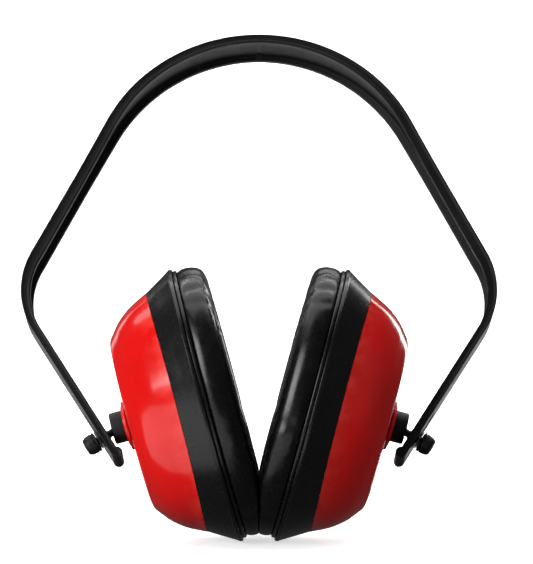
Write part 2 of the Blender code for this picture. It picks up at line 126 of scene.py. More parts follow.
# Cup: depth runs outwards from the rim's edge, inset is inside the rim's outline.
CUP_HALF_LENGTH = 51.0 * MM
CUP_HALF_WIDTH = 41.0 * MM
OVAL_POWER = 2.2
BALL_DEPTH = 31.0 * MM
CUP_LEAN_IN = 1.2 * MM  # the soft cushions let the cups stand this much closer than in the CAD
PARTING_DEPTH = 11.35 * MM
PARTING_SLOPE = 0.45 * MM  # the parting line is this much deeper at the lower end
PARTING_SAG = 1.75 * MM  # and this much shallower in the middle of the cup's sides
SHELL_DEPTH = 28.7 * MM
SHELL_RIM_DEPTH = 12.0 * MM
SHELL_RIM_INSET = 6.5 * MM
SHELL_WALL = 2.5 * MM
BACK_FILLET = 4.5 * MM
SIDE_FILLET = 28.0 * MM
BOSS_RADIUS = 9.0 * MM
BOSS_STEP_RADIUS = 7.4 * MM
RIM_FLANGE_INSET = 15.0 * MM
RIM_FLANGE_TOP = 2.2 * MM
RIM_LIP = 1.2 * MM
LINER_DEPTH = 12.6 * MM
LINER_EDGE_INSET = 10.4 * MM
LINER_FACE_INSET = 11.6 * MM
LINER_REACH = 29.0 * MM
LINER_BULGE = 0.5 * MM
CUSHION_HEIGHT = 12.6 * MM
CUSHION_SIDE_INSET = 2.4 * MM
CUSHION_BULGE_INSET = 1.0 * MM
CUSHION_HOLE_INSET = 19.5 * MM
CUSHION_STEP = 0.75 * MM

# The shell's outer side as (inset, depth): the flat back, the shoulder and the side.
SHELL_BACK = [(27.0 * MM, SHELL_DEPTH), (19.6 * MM, SHELL_DEPTH - 0.3 * MM)]
SHELL_SHOULDER = (16.6 * MM, 26.0 * MM)
SHELL_SIDE = [(13.6 * MM, 23.6 * MM), (9.6 * MM, 18.6 * MM)]

# Creases gathered across the cushion: angle from its upper end, width in radians, depth in mm.
CREASES = (
    (0.28, 0.035, 0.45),
    (0.52, 0.03, 0.55),
    (0.66, 0.025, 0.35),
    (1.75, 0.05, 0.25),
    (2.6, 0.05, 0.4),
)
WAVE_HEIGHT = 0.16  # in mm
CREASE_WANDER = 0.05  # in radians

# The cushion's cloth simulation.
CLOTH_STIFFNESS = 60.0
CLOTH_SHEAR = 30.0
CLOTH_BENDING = 4.0
CLOTH_PRESSURE = 3.0
CLOTH_FRAMES = 20
CLOTH_HELD_DEPTH = 2.3 * MM  # the skin is held fast down to here
CRUMPLE_DEPTH = 2.6 * MM  # and has waves and creases below here
RELAX_FACTOR = 0.5
RELAX_STEPS = 3
MOST_SWELLING = 1.0 * MM

# The face that the two pressed cushions share.
FACE_WAVE = 0.18 * MM
FACE_HALF_GAP = 0.03 * MM
FACE_SOFTNESS = 0.25 * MM

OVAL_SEGMENTS = 168
CUSHION_SEGMENTS = 220
ROUND_SEGMENTS = 72

# Colours.
BLACK = (0.006, 0.006, 0.0065)
BLACK_LIGHT = (0.011, 0.011, 0.012)
BLACK_WORN = (0.03, 0.03, 0.031)
RIM_BLACK = (0.003, 0.003, 0.0033)
RIM_LIGHT = (0.006, 0.006, 0.0065)
VINYL_BLACK = (0.0018, 0.0018, 0.002)
VINYL_LIGHT = (0.004, 0.004, 0.0045)
# The darker foam colour is painted shade inside the foam's pores, not a colour of the foam.
FOAM_PORE_SHADE = (0.010, 0.010, 0.011)
FOAM_LIGHT = (0.055, 0.055, 0.06)
GREY = (0.07, 0.07, 0.075)
GREY_LIGHT = (0.11, 0.11, 0.12)
GREY_WORN = (0.2, 0.2, 0.2)
RED = (0.62, 0.004, 0.003)
RED_LIGHT = (0.70, 0.006, 0.005)
RED_WORN = (0.8, 0.04, 0.03)
STEEL_DARK = (0.10, 0.10, 0.11)
STEEL_LIGHT = (0.17, 0.17, 0.18)

# Studio, in metres and watts.
FLOOR_REACH = 4.5
BACKDROP_START = 1.2
BACKDROP_RADIUS = 0.6
BACKDROP_TOP = 3.2
BACKDROP_STEPS = 24
SURROUND_STEPS = 32
CARD_SEGMENTS = 48
SHEET_COLOUR = 0.9
DIM_COLOUR = 0.5
FLOOR_GLOW = 0.6
SURROUND_GLOW = 0.8
BACKDROP_GLOW = 0.3
CARD_HEIGHT = -0.2 * MM  # just under the floor, which bounced light passes through
BOUNCE_CENTRE = (-0.135, -0.19)
BOUNCE_RADIUS = 0.16
DIM_HALF_WIDTH = 0.3
DIM_FRONT = 0.1
DIM_BACK = 0.6
AMBIENT = 0.08
EARMUFF = (0.0, 0.0, 0.07)
BACKDROP_MIDDLE = (0.0, 1.7, 0.35)

# Lamps: name, place, target, size, power.
LAMPS = (
    ("key", (-0.85, -0.85, 0.4), EARMUFF, (0.6, 0.7), 12.5),
    ("edge", (0.5, 0.6, 0.15), EARMUFF, (0.14, 0.9), 3.0),
    ("left_edge", (-0.5, 0.6, 0.15), EARMUFF, (0.1, 0.9), 0.5),
    ("fill", (0.7, -0.35, 0.12), EARMUFF, (0.5, 0.5), 0.9),
    ("top", (-0.1, 0.25, 1.1), EARMUFF, (1.9, 1.5), 19.0),
    ("backdrop", (0.0, 0.55, 1.1), BACKDROP_MIDDLE, (1.6, 0.5), 42.0),
)

# Camera, in metres. The picture's height at the ball joints fixes the lens.
SENSOR = 36.0  # in mm
CAMERA_DISTANCE = 0.9
CAMERA_RISE = 52.6 * MM
PICTURE_HEIGHT = 0.2053
CAMERA_SHIFT = 0.0133


# Places from the frame --------------------------------------------------------------------


def joint(name):
    """One joint of the frame."""
    return next(item for item in frame["joints"] if item["name"] == name)


def axes_matrix(x_axis, y_axis, z_axis, origin):
    """A matrix from three axes and an origin."""
    matrix = Matrix((x_axis, y_axis, z_axis)).transposed().to_4x4()
    matrix.translation = origin
    return matrix


def band_matrix():
    """The band's plane: origin at the crown's outer face, +X to the right, +Z up the plane."""
    flex = joint("band_flex")
    back = Vector(flex["axis"]).normalized()
    across = Vector((1.0, 0.0, 0.0))
    return axes_matrix(across, back, across.cross(back), Vector(flex["pos_m"]))


def cup_matrix(side):
    """A cup's frame: origin at the ball's centre, +Z outwards, +X up along the cup."""
    out = Vector(joint(side + "_cup_swivel")["axis"]).normalized()
    up = Vector(joint(side + "_cup_yaw")["axis"]).normalized()
    up *= math.copysign(1.0, up.z)
    centre = Vector(joint(side + "_cup_tilt")["pos_m"])
    return axes_matrix(up, out.cross(up), out, centre)


def shell_matrix(side):
    """A cup's frame for its shell, rim and soft parts, which lean on the other cup's."""
    nearer = Vector((-SIDES[side] * CUP_LEAN_IN, 0.0, 0.0))
    return Matrix.Translation(nearer) @ cup_matrix(side)


def stud_matrix(side):
    """A stud's frame: origin at the ball's centre, +X up the leg, +Z out through the leg."""
    up = Vector(joint(side + "_height")["axis"]).normalized()
    back = Vector(joint("band_flex")["axis"]).normalized()
    out = up.cross(back) * -SIDES[side]
    centre = Vector(joint(side + "_cup_tilt")["pos_m"])
    return axes_matrix(up, out.cross(up), out, centre)


# Mesh helpers -----------------------------------------------------------------------------


def add_object(name, data):
    """Put a mesh, a lamp or a camera in the scene."""
    item = bpy.data.objects.new(name, data)
    bpy.context.scene.collection.objects.link(item)
    return item


def add_piece(name, mesh, material, matrix=None):
    """Put a mesh in the scene with its material."""
    piece = add_object(name, mesh)
    if matrix is not None:
        mesh.transform(matrix)
        if matrix.determinant() < 0:
            mesh.flip_normals()
    mesh.materials.append(material)
    return piece


def smooth(piece, angle=50.0):
    """Shade a piece smooth, with its real edges kept."""
    piece.data.shade_smooth()
    piece.data.set_sharp_from_angle(angle=math.radians(angle))
    return piece


def loft(name, rings, material, matrix=None, loop=False):
    """Skin a list of equal rings of points. A loop joins the last ring to the first."""
    count = len(rings[0])
    points = [point for ring in rings for point in ring]
    faces = []
    for index in range(len(rings) if loop else len(rings) - 1):
        a = index * count
        b = (index + 1) % len(rings) * count
        for i in range(count):
            j = (i + 1) % count
            faces.append((a + i, b + i, b + j, a + j))
    if not loop:
        faces.append(tuple(range(count)))
        faces.append(tuple(reversed(range(len(points) - count, len(points)))))
    mesh = bpy.data.meshes.new(name)
    mesh.from_pydata(points, [], faces)
    mesh.update()
    return smooth(add_piece(name, mesh, material, matrix))


def fillet(points, radius, steps=4, closed=False):
    """Round the corners of an outline of (a, b) points, with the same count of points at each."""
    result = []
    last = len(points) - 1
    least = 0.02 * MM
    for i, point in enumerate(points):
        if not closed and i in (0, last):
            result.append(point)
            continue
        here = Vector(point)
        before = Vector(points[i - 1]) - here
        after = Vector(points[(i + 1) % len(points)]) - here
        turn = before.angle(after)
        cut = max(radius / math.tan(turn / 2.0), least)
        start = here + before.normalized() * min(cut, 0.45 * before.length)
        end = here + after.normalized() * min(cut, 0.45 * after.length)
        for k in range(steps + 1):
            t = k / steps
            curve = start * (1 - t) ** 2 + here * 2 * t * (1 - t) + end * t**2
            result.append((curve.x, curve.y))
    return result


def lathe(name, profile, material, matrix, closed=False, segments=ROUND_SEGMENTS):
    """Turn a profile of (radius, height), which runs down the piece's outer side, about Z."""
    mesh = bpy.data.meshes.new(name)
    edges = [(i, i + 1) for i in range(len(profile) - 1)]
    if closed:
        edges.append((len(profile) - 1, 0))
    mesh.from_pydata([(r, 0.0, z) for r, z in profile], edges, [])
    piece = add_object(name, mesh)
    screw = piece.modifiers.new("turn", "SCREW")
    screw.steps = segments
    screw.render_steps = segments
    screw.use_merge_vertices = True
    screw.merge_threshold = 0.00001
    final = baked(piece)
    final.transform(matrix)
    final.materials.append(material)
    piece.modifiers.clear()
    piece.data = final
    return smooth(piece, 40.0)


def baked(piece):
    """A new mesh of a piece with its modifiers applied."""
    bpy.context.view_layer.update()
    graph = bpy.context.evaluated_depsgraph_get()
    return bpy.data.meshes.new_from_object(piece.evaluated_get(graph))


def apply_modifiers(piece):
    """Fix a piece's modifiers into its mesh."""
    mesh = baked(piece)
    piece.modifiers.clear()
    piece.data = mesh
    return piece


def boolean(piece, tool, operation):
    """Cut a piece with a tool, or join the tool to it, and drop the tool."""
    step = piece.modifiers.new(operation, "BOOLEAN")
    step.object = tool
    step.operation = operation
    step.solver = "EXACT"
    apply_modifiers(piece)
    bpy.data.objects.remove(tool, do_unlink=True)
    return piece


def fix_normals(piece):
    """Turn every face outwards."""
    shape = bmesh.new()
    shape.from_mesh(piece.data)
    bmesh.ops.recalc_face_normals(shape, faces=shape.faces)
    shape.to_mesh(piece.data)
    shape.free()


def arc(radius, start_height, end_height, steps=14):
    """Points of (radius, height) on a sphere about the origin, between two heights."""
    start = math.acos(max(-1.0, min(1.0, start_height / radius)))
    end = math.acos(max(-1.0, min(1.0, end_height / radius)))
    angles = [start + (end - start) * i / steps for i in range(steps + 1)]
    return [(radius * math.sin(a), radius * math.cos(a)) for a in angles]


def resample(outline, step):
    """Points at equal steps along a closed outline."""
    path = outline + [outline[0]]
    lengths = [math.dist(a, b) for a, b in zip(path, path[1:])]
    total = sum(lengths)
    count = max(3, round(total / step))
    points = []
    for k in range(count):
        target = total * k / count
        index = 0
        while index < len(lengths) - 1 and target > lengths[index]:
            target -= lengths[index]
            index += 1
        share = target / lengths[index]
        a, b = path[index], path[index + 1]
        points.append((a[0] + (b[0] - a[0]) * share, a[1] + (b[1] - a[1]) * share))
    return points


def finish_piece(piece, body, slot, *nodes):
    """Hang a piece on its body, in place of its CAD nodes. The slot argument is not used."""
    fix_normals(piece)
    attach(piece, body)
    if nodes:
        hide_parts(*nodes)
    return piece


def smooth_step(low, high, value):
    """A smooth step from 0 to 1."""
    t = min(1.0, max(0.0, (value - low) / (high - low)))
    return t * t * (3.0 - 2.0 * t)


# Materials --------------------------------------------------------------------------------


def link(tree, source, target):
    """Join two sockets."""
    tree.links.new(source, target)


def add_node(tree, kind, **values):
    """Add a shader node and set its inputs and properties."""
    node = tree.nodes.new(kind)
    for key, value in values.items():
        name = key.replace("_", " ").title()
        if name in node.inputs:
            node.inputs[name].default_value = value
        else:
            setattr(node, key, value)
    return node


def noise_texture(tree, coordinates, scale, detail=3.0, roughness=0.5):
    """A noise whose scale is in cells per metre."""
    node = add_node(tree, "ShaderNodeTexNoise", scale=scale, detail=detail, roughness=roughness)
    link(tree, coordinates, node.inputs["Vector"])
    return node.outputs["Fac"]


def spread(tree, value, low, high, from_low=0.3, from_high=0.7):
    """Map a noise to a range."""
    node = add_node(tree, "ShaderNodeMapRange", from_min=from_low, from_max=from_high)
    node.inputs["To Min"].default_value = low
    node.inputs["To Max"].default_value = high
    link(tree, value, node.inputs["Value"])
    return node.outputs["Result"]


def bump(tree, height, distance, strength=1.0, normal=None):
    """A bump of a given depth in metres."""
    node = add_node(tree, "ShaderNodeBump", strength=strength, distance=distance)
    link(tree, height, node.inputs["Height"])
    if normal is not None:
        link(tree, normal, node.inputs["Normal"])
    return node.outputs["Normal"]


def mix_colour(tree, factor, first, second):
    """Mix two colours by a factor socket."""
    node = tree.nodes.new("ShaderNodeMix")
    node.data_type = "RGBA"
    link(tree, factor, node.inputs["Factor"])
    node.inputs["A"].default_value = (*first, 1.0)
    node.inputs["B"].default_value = (*second, 1.0)
    return node.outputs["Result"]


def new_material(name):
    """A material, with its node tree, its shader and its piece's own coordinates."""
    material = bpy.data.materials.new(name)
    material.use_nodes = True
    tree = material.node_tree
    shader = tree.nodes["Principled BSDF"]
    coordinates = tree.nodes.new("ShaderNodeTexCoord").outputs["Object"]
    return material, tree, shader, coordinates


def plastic(name, dark, light, worn, rough, grain_depth, grain_scale, specular, coat=0.0):
    """Moulded plastic: colour drift, uneven gloss, mould grain, handling marks and rubbed edges."""
    material, tree, shader, coordinates = new_material(name)
    drift = noise_texture(tree, coordinates, scale=45.0, detail=4.0)
    colour = mix_colour(tree, spread(tree, drift, 0.0, 1.0), dark, light)
    smear = noise_texture(tree, coordinates, scale=160.0, detail=6.0, roughness=0.65)
    edges = tree.nodes.new("ShaderNodeNewGeometry").outputs["Pointiness"]
    rubbed = tree.nodes.new("ShaderNodeMath")
    rubbed.operation = "MULTIPLY"
    link(tree, spread(tree, edges, 0.0, 1.0, from_low=0.53, from_high=0.62), rubbed.inputs[0])
    link(tree, spread(tree, smear, 0.0, 0.9, from_low=0.4, from_high=0.6), rubbed.inputs[1])
    wear = tree.nodes.new("ShaderNodeMix")
    wear.data_type = "RGBA"
    link(tree, rubbed.outputs["Value"], wear.inputs["Factor"])
    link(tree, colour, wear.inputs["A"])
    wear.inputs["B"].default_value = (*worn, 1.0)
    link(tree, wear.outputs["Result"], shader.inputs["Base Color"])
    link(tree, spread(tree, smear, rough[0], rough[1]), shader.inputs["Roughness"])
    grain = noise_texture(tree, coordinates, scale=grain_scale, detail=2.0)
    wave = noise_texture(tree, coordinates, scale=90.0, detail=1.0)
    normal = bump(tree, wave, distance=0.00006, strength=0.5)
    normal = bump(tree, grain, distance=grain_depth, strength=0.6, normal=normal)
    link(tree, normal, shader.inputs["Normal"])
    shader.inputs["Specular IOR Level"].default_value = specular
    shader.inputs["Coat Weight"].default_value = coat
    shader.inputs["Coat Roughness"].default_value = 0.06
    return material


def vinyl(name):
    """Soft glossy vinyl: pebbled grain, fine creases and a slightly uneven sheen."""
    material, tree, shader, coordinates = new_material(name)
    drift = noise_texture(tree, coordinates, scale=60.0, detail=3.0)
    colour = mix_colour(tree, spread(tree, drift, 0.0, 1.0), VINYL_BLACK, VINYL_LIGHT)
    link(tree, colour, shader.inputs["Base Color"])
    sheen = noise_texture(tree, coordinates, scale=240.0, detail=5.0, roughness=0.6)
    link(tree, spread(tree, sheen, 0.2, 0.32), shader.inputs["Roughness"])
    pebbles = add_node(tree, "ShaderNodeTexVoronoi", scale=1500.0)
    pebbles.feature = "SMOOTH_F1"
    link(tree, coordinates, pebbles.inputs["Vector"])
    creases = noise_texture(tree, coordinates, scale=130.0, detail=3.0, roughness=0.45)
    normal = bump(tree, creases, distance=0.0003, strength=0.3)
    normal = bump(tree, pebbles.outputs["Distance"], distance=0.00003, strength=0.25, normal=normal)
    link(tree, normal, shader.inputs["Normal"])
    shader.inputs["Specular IOR Level"].default_value = 0.35
    return material


def foam(name):
    """Open-cell foam: rounded pores in a rough skin, with painted shade that darkens each pore by
    its depth.
    """
    material, tree, shader, coordinates = new_material(name)
    pores = add_node(tree, "ShaderNodeTexVoronoi", scale=1300.0)
    link(tree, coordinates, pores.inputs["Vector"])
    depth = pores.outputs["Distance"]
    # Painted shade: the colour darkens toward each pore's middle, as if shade fell into it.
    share = spread(tree, depth, 0.0, 1.0, from_low=0.1, from_high=0.6)
    colour = mix_colour(tree, share, FOAM_PORE_SHADE, FOAM_LIGHT)
    link(tree, colour, shader.inputs["Base Color"])
    rough = noise_texture(tree, coordinates, scale=500.0, detail=4.0)
    normal = bump(tree, rough, distance=0.0006, strength=0.5)
    normal = bump(tree, depth, distance=0.0005, strength=0.8, normal=normal)
    link(tree, normal, shader.inputs["Normal"])
    shader.inputs["Roughness"].default_value = 0.95
    shader.inputs["Specular IOR Level"].default_value = 0.15
    return material


def steel(name):
    """Blackened spring steel with a fine grain and a faint stain."""
    material, tree, shader, coordinates = new_material(name)
    drift = noise_texture(tree, coordinates, scale=350.0, detail=3.0)
    colour = mix_colour(tree, spread(tree, drift, 0.0, 1.0), STEEL_DARK, STEEL_LIGHT)
    link(tree, colour, shader.inputs["Base Color"])
    grain = noise_texture(tree, coordinates, scale=2600.0, detail=2.0)
    link(tree, spread(tree, grain, 0.24, 0.42), shader.inputs["Roughness"])
    link(tree, bump(tree, grain, distance=0.00003, strength=0.5), shader.inputs["Normal"])
    shader.inputs["Metallic"].default_value = 1.0
    return material


def make_materials():
    """The earmuff's materials, by their use."""
    return {
        "band": plastic(
            "band_black", BLACK, BLACK_LIGHT, BLACK_WORN,
            rough=(0.36, 0.48), grain_depth=0.00003, grain_scale=3200.0, specular=0.13,
        ),
        "joint": plastic(
            "joint_black", BLACK, BLACK_LIGHT, BLACK_WORN,
            rough=(0.38, 0.52), grain_depth=0.00004, grain_scale=2600.0, specular=0.25,
        ),
        "rim": plastic(
            "rim_black", RIM_BLACK, RIM_LIGHT, BLACK_WORN,
            rough=(0.22, 0.3), grain_depth=0.00001, grain_scale=3000.0, specular=0.4,
        ),
        "seat": plastic(
            "seat_grey", GREY, GREY_LIGHT, GREY_WORN,
            rough=(0.4, 0.5), grain_depth=0.00003, grain_scale=3000.0, specular=0.3,
        ),
        "shell": plastic(
            "shell_red", RED, RED_LIGHT, RED_WORN,
            rough=(0.12, 0.2), grain_depth=0.00001, grain_scale=900.0, specular=0.42, coat=0.2,
        ),
        "vinyl": vinyl("cushion_vinyl"),
        "foam": foam("foam_grey"),
        "steel": steel("spring_steel"),
    }


# Headband ---------------------------------------------------------------------------------


def elbow_centre():
    """The elbow arc's centre, where the arc touches the straight side."""
    x = ELBOW_HALF_SPAN - ELBOW_RADIUS
    reach = CROWN_RADIUS - ELBOW_RADIUS - math.sin(SIDE_SLOPE) * x
    return x, CROWN_HEIGHT - CROWN_RADIUS + reach / math.cos(SIDE_SLOPE)


def leg_surface():
    """How far the leg's outer face is from the ball's centre, square to the leg."""
    x, height = elbow_centre()
    across = math.sin(LEG_SLOPE) * (x - BALL_HALF_SPAN) - math.cos(LEG_SLOPE) * height
    return across + ELBOW_RADIUS


def band_stations():
    """Stations of (x, height, normal angle, rail thickness, web thickness) down one side."""
    stations = []
    crown_centre = CROWN_HEIGHT - CROWN_RADIUS
    for i in range(CROWN_STEPS + 1):
        angle = SIDE_SLOPE * i / CROWN_STEPS
        x = CROWN_RADIUS * math.sin(angle)
        height = crown_centre + CROWN_RADIUS * math.cos(angle)
        growth = (ELBOW_THICKNESS - CROWN_THICKNESS) * CROWN_THICKENING * i / CROWN_STEPS
        thickness = CROWN_THICKNESS + growth
        stations.append((x, height, angle, thickness, WEB_THICKNESS))
    x_elbow, elbow_height = elbow_centre()
    start = stations[-1]
    top = (
        x_elbow + ELBOW_RADIUS * math.sin(SIDE_SLOPE),
        elbow_height + ELBOW_RADIUS * math.cos(SIDE_SLOPE),
    )
    for i in range(1, SIDE_STEPS):
        t = i / SIDE_STEPS
        thickness = start[3] + (ELBOW_THICKNESS - start[3]) * t
        x = start[0] + (top[0] - start[0]) * t
        height = start[1] + (top[1] - start[1]) * t
        stations.append((x, height, SIDE_SLOPE, thickness, WEB_THICKNESS))
    turn = math.pi - LEG_SLOPE - SIDE_SLOPE
    for i in range(ELBOW_STEPS + 1):
        t = i / ELBOW_STEPS
        angle = SIDE_SLOPE + turn * t
        x = x_elbow + ELBOW_RADIUS * math.sin(angle)
        height = elbow_height + ELBOW_RADIUS * math.cos(angle)
        thickness = ELBOW_THICKNESS + (LEG_THICKNESS - ELBOW_THICKNESS) * t
        web = WEB_THICKNESS + (thickness - WEB_THICKNESS) * t
        stations.append((x, height, angle, thickness, web))
    return stations


def band_width(height):
    """The band is widest over the crown and narrows down its sides."""
    return LEG_WIDTH + (CROWN_WIDTH - LEG_WIDTH) * smooth_step(NARROW_BELOW, WIDE_ABOVE, height)


def band_outline(width, top, bottom, web):
    """The moulded section, as (across, depth): rounded rails, grooved edges and a recessed web."""
    half = width / 2.0
    rail = half - RAIL_WIDTH
    foot = rail - RAIL_DRAFT
    groove = half - EDGE_GROOVE
    middle = (top + bottom) / 2.0
    reach = GROOVE_SHARE * (bottom - top)
    edge = [
        (half, top),
        (half, middle - 2.0 * reach),
        (groove, middle - reach),
        (groove, middle + reach),
        (half, middle + 2.0 * reach),
        (half, bottom),
    ]
    right = fillet([(0.0, top)] + edge + [(rail, bottom), (foot, web), (0.0, web)], 0.45 * MM, 3)
    left = [(-across, depth) for across, depth in reversed(right[1:-1])]
    return right + left


def band_half(sign):
    """The rings of one half of the band, from the crown to the tip, in the band's plane."""
    rings = []

    def add_ring(x, height, angle, outline):
        """Stand an outline of (across, depth) points at a station."""
        ring = []
        for across, depth in outline:
            px = x - depth * math.sin(angle)
            pz = height - depth * math.cos(angle) - CROWN_HEIGHT
            ring.append((sign * px, across, pz))
        rings.append(ring)

    stations = band_stations()
    for x, height, angle, thickness, web in stations:
        add_ring(x, height, angle, band_outline(band_width(height), 0.0, thickness, web))
    x_end, height_end, angle = stations[-1][:3]

    def leg_point(distance):
        """The place at a distance down the leg's outer face."""
        return x_end - distance * math.cos(LEG_SLOPE), height_end - distance * math.sin(LEG_SLOPE)

    outline = band_outline(LEG_WIDTH, 0.0, LEG_THICKNESS, LEG_THICKNESS)
    bead_centre = LEG_LENGTH - BEAD_RADIUS
    for i in range(1, LEG_STEPS + 1):
        add_ring(*leg_point((bead_centre - 1.05 * BEAD_RADIUS) * i / LEG_STEPS), angle, outline)
    for degrees in range(-85, 86, 10):
        phi = math.radians(degrees)
        reach = BEAD_RADIUS * math.cos(phi)
        top = BEAD_DEPTH - reach
        bottom = BEAD_DEPTH + reach
        if degrees < 0:
            top = min(top, 0.0)
            bottom = max(bottom, LEG_THICKNESS)
        outline = band_outline(LEG_WIDTH, top, bottom, bottom)
        add_ring(*leg_point(bead_centre + BEAD_RADIUS * math.sin(phi)), angle, outline)
    return rings


def slot_tool(sign, name, depth, middle, flare=0.0):
    """A round-ended bar through the leg, along the stud's path, which may flare outwards."""
    shape = bmesh.new()
    rings = []
    for level in (-depth / 2.0, depth / 2.0):
        radius = SLOT_WIDTH / 2.0 + (flare if level > 0 else 0.0)
        ring = []
        for end in (1, -1):
            for i in range(SLOT_STEPS + 1):
                a = math.pi * i / SLOT_STEPS
                along = end * (SLIDE_TRAVEL / 2.0 + radius * math.sin(a))
                ring.append(shape.verts.new((along, end * radius * math.cos(a), level)))
        rings.append(ring)
    shape.faces.new(rings[0])
    shape.faces.new(list(reversed(rings[1])))
    for i in range(len(rings[0])):
        j = (i + 1) % len(rings[0])
        shape.faces.new((rings[0][i], rings[1][i], rings[1][j], rings[0][j]))
    bmesh.ops.recalc_face_normals(shape, faces=shape.faces)
    mesh = bpy.data.meshes.new(name)
    shape.to_mesh(mesh)
    shape.free()
    x = BALL_HALF_SPAN + middle * math.sin(LEG_SLOPE) + SLIDE_TRAVEL / 2.0 * math.cos(LEG_SLOPE)
    z = SLIDE_TRAVEL / 2.0 * math.sin(LEG_SLOPE) - middle * math.cos(LEG_SLOPE) - CROWN_HEIGHT
    place = Matrix.Translation((sign * x, 0.0, z))
    turn = Matrix.Rotation(sign * (math.pi - LEG_SLOPE), 4, "Y")
    mesh.transform(place @ turn)
    return add_object(name, mesh)


def gate_mark(material):
    """The small ring left by the moulding gate, under the crown's web."""
    web = -WEB_THICKNESS
    root = web + 0.6 * MM
    lip = web - 0.45 * MM
    pit = web - 0.1 * MM
    profile = fillet([
        (0.0, root),
        (GATE_RADIUS, root),
        (GATE_RADIUS, lip),
        (GATE_PIT_RADIUS, lip),
        (0.5 * MM, pit),
        (0.0, pit),
    ], 0.12 * MM, 3)
    place = Matrix.Translation((0.0, GATE_PLACE, 0.0))
    gate = lathe("gate", profile, material, place, segments=32)
    fix_normals(gate)
    return gate


def make_headband(material):
    """The moulded band from elbow to elbow, in one piece, and its two legs below the elbows."""
    halves = {sign: band_half(sign) for sign in SIDES.values()}
    rings = list(reversed(halves[-1][: SEAM_STATION + 1])) + halves[1][1 : SEAM_STATION + 1]
    band = loft("headband", rings, material)
    fix_normals(band)
    boolean(band, gate_mark(material), "UNION")
    band.data.transform(band_matrix())
    smooth(band, 32.0)
    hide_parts("headband_left", "headband_right")
    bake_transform(band)
    outer = leg_surface()
    for side, sign in SIDES.items():
        leg = loft(side + "_leg", halves[sign][SEAM_STATION:], material)
        fix_normals(leg)
        middle = outer - LEG_THICKNESS / 2.0
        boolean(leg, slot_tool(sign, "slot", SLOT_CUT_DEPTH, middle), "DIFFERENCE")
        boolean(leg, slot_tool(sign, "chamfer", CHAMFER_DEPTH, outer, CHAMFER_FLARE), "DIFFERENCE")
        leg.data.transform(band_matrix())
        smooth(leg, 32.0)
        finish_piece(leg, side + "_band", "band_black", side + "_leg_bead")


# Ball joint -------------------------------------------------------------------------------


def slider_heights():
    """Heights above the ball's centre of what is stacked on the stud."""
    outer = leg_surface()
    heights = {"shoulder": outer - LEG_THICKNESS - GAP, "washer": outer + GAP}
    heights["knob"] = heights["washer"] + WASHER_ROOM + GAP
    heights["knob_end"] = heights["knob"] + KNOB_LENGTH
    heights["shaft_end"] = heights["knob_end"] - 1.4 * MM
    return heights


def make_stud(side, material):
    """The ball stud, with a thin flange inside the leg."""
    heights = slider_heights()
    shoulder = heights["shoulder"]
    shaft_end = heights["shaft_end"]
    neck = math.sqrt(BALL_RADIUS**2 - SHAFT_RADIUS**2)
    body = fillet([
        (0.0, shaft_end),
        (SHAFT_RADIUS, shaft_end),
        (SHAFT_RADIUS, shoulder),
        (STUD_FLANGE_RADIUS, shoulder),
        (STUD_FLANGE_RADIUS, shoulder - 0.25 * MM),
        (SHAFT_RADIUS, shoulder - 0.6 * MM),
        (SHAFT_RADIUS, neck),
    ], 0.12 * MM, 3)
    ball = arc(BALL_RADIUS, neck, -BALL_RADIUS, 24)
    ball[-1] = (0.0, -BALL_RADIUS)
    stud = lathe(side + "_stud", body + ball[1:], material, stud_matrix(side))
    finish_piece(stud, side + "_slider", "joint_plastic", side + "_pivot_stud")


def make_washer(side, material):
    """The spring washer under the knob, with three waves."""
    bore = SHAFT_RADIUS + GAP
    middle = slider_heights()["washer"] + WASHER_ROOM / 2.0
    section = (
        (bore, WASHER_HALF_THICKNESS),
        (WASHER_RADIUS, WASHER_HALF_THICKNESS),
        (WASHER_RADIUS, -WASHER_HALF_THICKNESS),
        (bore, -WASHER_HALF_THICKNESS),
    )
    rings = []
    for i in range(ROUND_SEGMENTS):
        a = 2.0 * math.pi * i / ROUND_SEGMENTS
        lift = middle + WASHER_WAVE * math.cos(3.0 * a)
        rings.append([(r * math.cos(a), r * math.sin(a), lift + z) for r, z in section])
    washer = loft(side + "_washer", rings, material, stud_matrix(side), loop=True)
    finish_piece(washer, side + "_slider", "spring_steel", side + "_spring_washer")


def make_knob(side, material):
    """The grooved height knob, pressed on the stud's end."""
    heights = slider_heights()
    base = heights["knob"]
    end = heights["knob_end"]
    bore_end = heights["shaft_end"] + GAP
    bore = SHAFT_RADIUS + GAP
    groove = KNOB_RADIUS - KNOB_GROOVE
    profile = fillet([
        (0.0, end - 0.25 * MM),
        (1.3 * MM, end - 0.25 * MM),
        (1.5 * MM, end),
        (KNOB_RADIUS - 1.0 * MM, end),
        (KNOB_RADIUS - 0.25 * MM, end - 1.3 * MM),
        (KNOB_RADIUS, base + 1.35 * MM),
        (groove, base + 1.2 * MM),
        (groove, base + 0.95 * MM),
        (KNOB_RADIUS, base + 0.8 * MM),
        (KNOB_RADIUS - 0.1 * MM, base),
        (bore, base),
        (bore, bore_end),
        (0.0, bore_end),
    ], 0.7 * MM, 5)
    knob = lathe(side + "_knob", profile, material, stud_matrix(side))
    finish_piece(knob, side + "_slider", "joint_plastic", side + "_height_knob")


